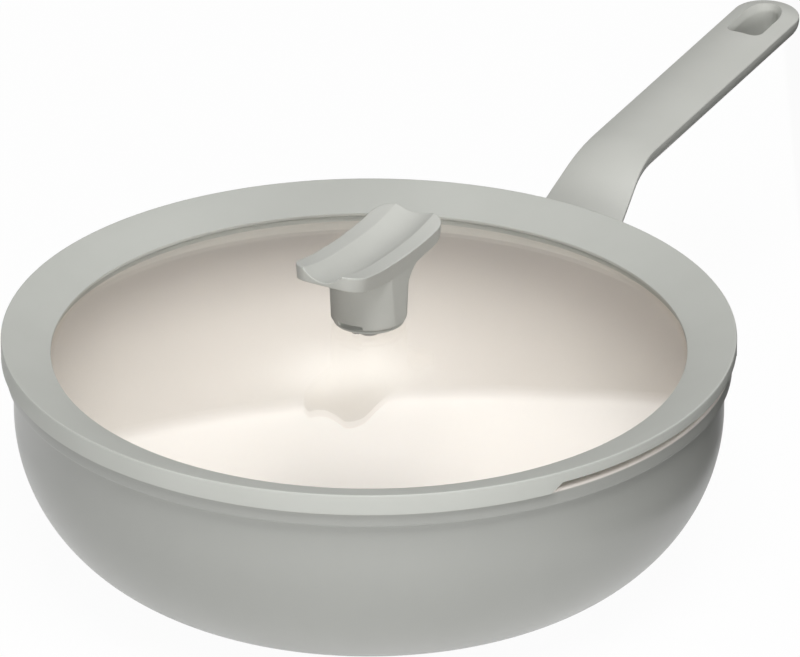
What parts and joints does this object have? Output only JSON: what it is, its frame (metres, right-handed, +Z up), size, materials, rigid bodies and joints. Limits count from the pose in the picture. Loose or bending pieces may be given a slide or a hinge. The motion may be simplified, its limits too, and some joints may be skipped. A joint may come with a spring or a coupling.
{
  "type": "wok with lid",
  "caption": "Deep round-sided wok pan with a long angled handle and a lift-off domed glass lid in a silicone rim with pouring gaps and a spoon-rest knob.",
  "frame": {"origin": "centre of the base underside, on the surface that the pan stands on", "axes": "+Z up along the bowl's axis, +X out along the handle"},
  "size_m": [0.4796, 0.294, 0.1394],
  "materials": {
    "pan_coating": "satin warm-grey coating outside, cream ceramic lining inside",
    "moulded_grey": "matt soft-touch moulding",
    "silicone": "matt silicone",
    "lid_glass": "clear tempered",
    "steel": "brushed",
    "bracket": "as cast",
    "brass": "turned"
  },
  "bodies": {
    "pan": {"pan_body": "pan_coating", "induction_disc": "steel", "handle_bracket": "bracket", "handle_grip": "moulded_grey", "handle_screw": "steel", "handle_lock_washer": "steel"},
    "lid_carrier": {"knob_washer": "steel"},
    "lid": {"lid_rim": "silicone", "lid_glass": "lid_glass", "lid_knob": "moulded_grey", "knob_insert": "brass", "knob_gasket": "silicone", "knob_grommet": "silicone", "knob_screw": "steel"}
  },
  "joints": [
    {"name": "lid_lift", "type": "slide", "parent": "pan", "child": "lid_carrier", "axis": [0, 0, 1], "range_m": [0, 0.15]},
    {"name": "lid_turn", "type": "hinge", "parent": "lid_carrier", "child": "lid", "pos_m": [0, 0, 0.1], "axis": [0, 0, 1], "continuous": true}
  ]
}
